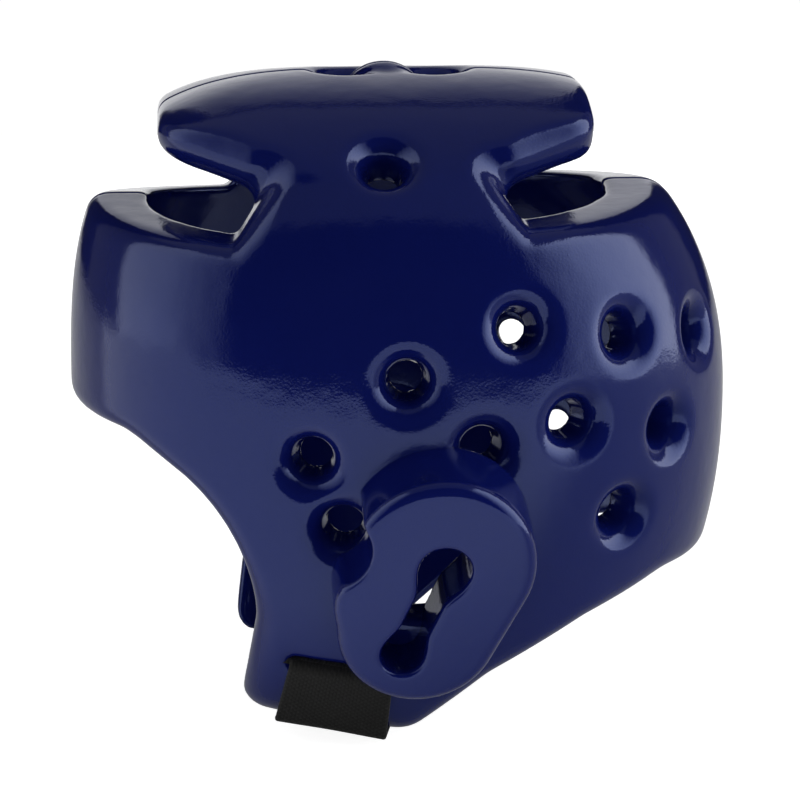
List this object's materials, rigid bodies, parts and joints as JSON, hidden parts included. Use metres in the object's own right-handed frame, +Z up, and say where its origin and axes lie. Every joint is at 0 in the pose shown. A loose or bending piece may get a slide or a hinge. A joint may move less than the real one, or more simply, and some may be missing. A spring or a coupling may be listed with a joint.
{
  "type": "dipped-foam sparring head guard",
  "caption": "Open-face dipped-foam head guard with a crown bar on two necks, round vents, raised ear pads and a webbing chin strap.",
  "frame": {"origin": "centre of the head that the guard is worn on", "axes": "+X towards the wearer's left, +Y towards the back of the head, +Z up"},
  "size_m": [0.2472, 0.2369, 0.2294],
  "materials": {
    "foam": "matte closed-cell foam",
    "vinyl": "glossy dipped vinyl",
    "glue": "dried contact cement",
    "webbing": "woven webbing",
    "tape": "hook-and-loop pile",
    "thread": "bonded thread"
  },
  "bodies": {
    "guard": {"left_foam_core": "foam", "right_foam_core": "foam", "left_vinyl_coat": "vinyl", "right_vinyl_coat": "vinyl", "front_seam_glue": "glue", "crown_seam_glue": "glue", "rear_seam_glue": "glue", "left_ear_pad_core": "foam", "right_ear_pad_core": "foam", "left_ear_pad_coat": "vinyl", "right_ear_pad_coat": "vinyl", "left_ear_pad_glue": "glue", "right_ear_pad_glue": "glue", "chin_strap": "webbing", "loop_tape": "tape", "loop_tape_stitching": "thread", "right_loop_stitching": "thread"},
    "strap_run": {"strap_outer_run": "webbing"},
    "tab": {"hook_tab": "webbing", "hook_tape": "tape", "hook_tape_stitching": "thread"}
  },
  "joints": [
    {"name": "strap_lift", "type": "hinge", "parent": "guard", "child": "strap_run", "pos_m": [0.08105, -0.0278, -0.07843], "axis": [-0.1721, -0.9743, 0.1456], "range_deg": [0, 50]},
    {"name": "tab_peel", "type": "hinge", "parent": "strap_run", "child": "tab", "pos_m": [0.07059, -0.02952, -0.10224], "axis": [-0.1721, -0.9743, 0.1456], "range_deg": [0, 120]}
  ]
}
